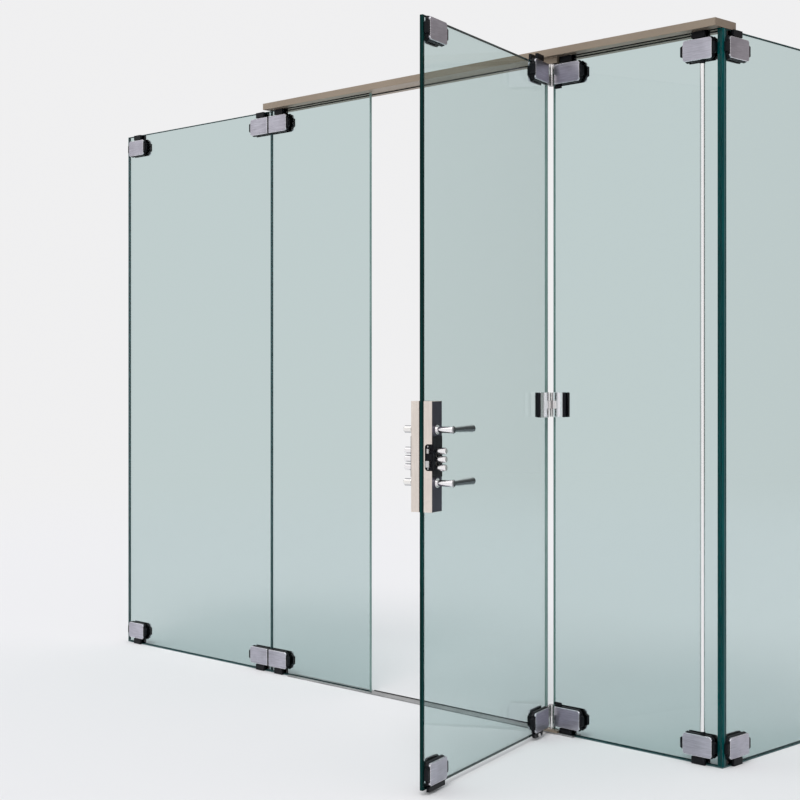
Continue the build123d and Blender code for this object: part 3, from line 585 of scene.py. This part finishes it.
def footScrewHead():
    # the domed screw in the foot under the leaf's lower hinge clamp
    r, dome, rim = footScrew["radius"], footScrew["dome"], footScrew["rim"]
    profile = [(r, 0), (r, dome * rim)]
    for turn in (math.radians(degrees) for degrees in footScrew["turns"]):
        profile.append((r * math.cos(turn), dome * (rim + (1 - rim) * math.sin(turn))))
    spot = onLeaf(footScrew["x"], -footScrew["face"], footScrew["z"])
    turned("foot_screw", spot, leafWay(0, -1), profile, "boltSteel", "door_leaf", "satin_steel")


caseScrew = {"x": -0.913, "face": 0.036, "heights": (1.178, 0.878)}


def caseScrews():
    for index, z in enumerate(caseScrew["heights"]):
        spot = onLeaf(caseScrew["x"], caseScrew["face"], z)
        screwHead(f"case_screw_{index}", spot, leafWay(0, 1), "door_leaf")


forendScrew = {"x": -0.938, "y": -0.021, "heights": (1.0595, 0.9915), "scale": 0.75}


def forendScrews():
    for index, z in enumerate(forendScrew["heights"]):
        spot = onLeaf(forendScrew["x"], forendScrew["y"], z)
        screwHead(f"forend_screw_{index}", spot, leafWay(-1, 0), "door_leaf", forendScrew["scale"])


footScrewHead()
caseScrews()
forendScrews()
print("added the fasteners")

studioLook = {
    "floor": (0.82, 0.815, 0.82), "pale": (0.87, 0.868, 0.875), "soft": (0.96, 0.97, 1.0),
    "softPower": 0.72, "reach": 60, "fadeFrom": 4.5, "fadeTo": 14.0,
    "dimWay": (0.49, 0.87, 0.0), "dim": (0.44, 0.41, 0.40), "dimBand": (0.3, 0.9),
}


def seenDirectly(paint):
    # the eye, and what shows in metal and through glass
    kinds = ("Is Camera Ray", "Is Glossy Ray", "Is Transmission Ray")
    eye, gloss, through = (paint.node("LightPath", out=kind) for kind in kinds)
    return eye + gloss + through


def mirrored(paint, spot):
    # pale all round, but steel and glass mirror one dimmer side
    way = paint.node("VectorMath", {"operation": "NORMALIZE"}, {0: spot})
    pair = {0: way, 1: studioLook["dimWay"]}
    toward = paint.node("VectorMath", {"operation": "DOT_PRODUCT"}, pair, out="Value")
    dimSide = paint.steps(toward, *studioLook["dimBand"]) * paint.node("LightPath", out="Is Glossy Ray")
    return paint.blend(dimSide, studioLook["pale"], studioLook["dim"])


def studioFloor():
    # it keeps its shadows near the door and runs into the backdrop far from it
    mesh = bmesh.new()
    bmesh.ops.create_grid(mesh, x_segments=6, y_segments=6, size=studioLook["reach"])
    data = bpy.data.meshes.new("studio_floor")
    mesh.to_mesh(data)
    mesh.free()
    floor = bpy.data.objects.new("studio_floor", data)
    bpy.context.scene.collection.objects.link(floor)
    paint = fresh("pale floor")
    spot = paint.node("TexCoord", out="Object")
    reach = paint.node("VectorMath", {"operation": "LENGTH"}, {0: spot}, out="Value")
    span = {"Value": reach, "From Min": studioLook["fadeFrom"], "From Max": studioLook["fadeTo"]}
    fade = paint.node("MapRange", {"interpolation_type": "SMOOTHSTEP"}, span)
    lit = paint.node("BsdfDiffuse", {}, {"Color": (*studioLook["floor"], 1)})
    plain = paint.node("Emission", {}, {"Color": mirrored(paint, spot), "Strength": 1.0})
    mixed = paint.node("MixShader", {}, {0: fade * seenDirectly(paint), 1: lit, 2: plain})
    data.materials.append(paint.end(mixed))


def backdrop():
    # a soft light all round, with the plain pale colour where it is seen
    world = bpy.data.worlds.new("soft backdrop")
    bpy.context.scene.world = world
    paint = Paint(world)
    light = {"Color": (*studioLook["soft"], 1), "Strength": studioLook["softPower"]}
    soft = paint.node("Background", {}, light)
    shown = {"Color": mirrored(paint, paint.node("TexCoord")), "Strength": 1.0}
    plain = paint.node("Background", {}, shown)
    mixed = paint.node("MixShader", {}, {0: seenDirectly(paint), 1: soft, 2: plain})
    paint.node("OutputWorld", {}, {"Surface": mixed})


lamps = {
    "key": {"spot": (2.5, -4.0, 6.5), "spread": 24.0, "power": 1.15},
    "fill": {"spot": (-5.0, -3.0, 5.0), "spread": 50.0, "power": 0.35},
}


def lights():
    # wide suns, high up, so that no lamp shows in the upright glass
    for name, lamp in lamps.items():
        data = bpy.data.lights.new(name, "SUN")
        data.energy, data.angle = lamp["power"], math.radians(lamp["spread"])
        light = bpy.data.objects.new(name, data)
        light.location = lamp["spot"]
        light.rotation_euler = (-Vector(lamp["spot"])).to_track_quat("-Z", "Y").to_euler()
        bpy.context.scene.collection.objects.link(light)


viewer = {
    "spot": (3.5013, -4.2561, 1.2876), "tilt": 90.0, "turn": 45.173,
    "lens": 69.22, "sensor": 36.0, "shiftY": -0.03625, "far": 200.0,
}


def camera():
    data = bpy.data.cameras.new("viewer")
    data.lens, data.sensor_width, data.shift_y = viewer["lens"], viewer["sensor"], viewer["shiftY"]
    data.clip_end = viewer["far"]
    eye = bpy.data.objects.new("viewer", data)
    eye.location = viewer["spot"]
    eye.rotation_euler = (math.radians(viewer["tilt"]), 0, math.radians(viewer["turn"]))
    bpy.context.scene.collection.objects.link(eye)
    bpy.context.scene.camera = eye


studioFloor()
backdrop()
lights()
camera()
bpy.context.scene.view_settings.view_transform = "Standard"
print("set the studio")
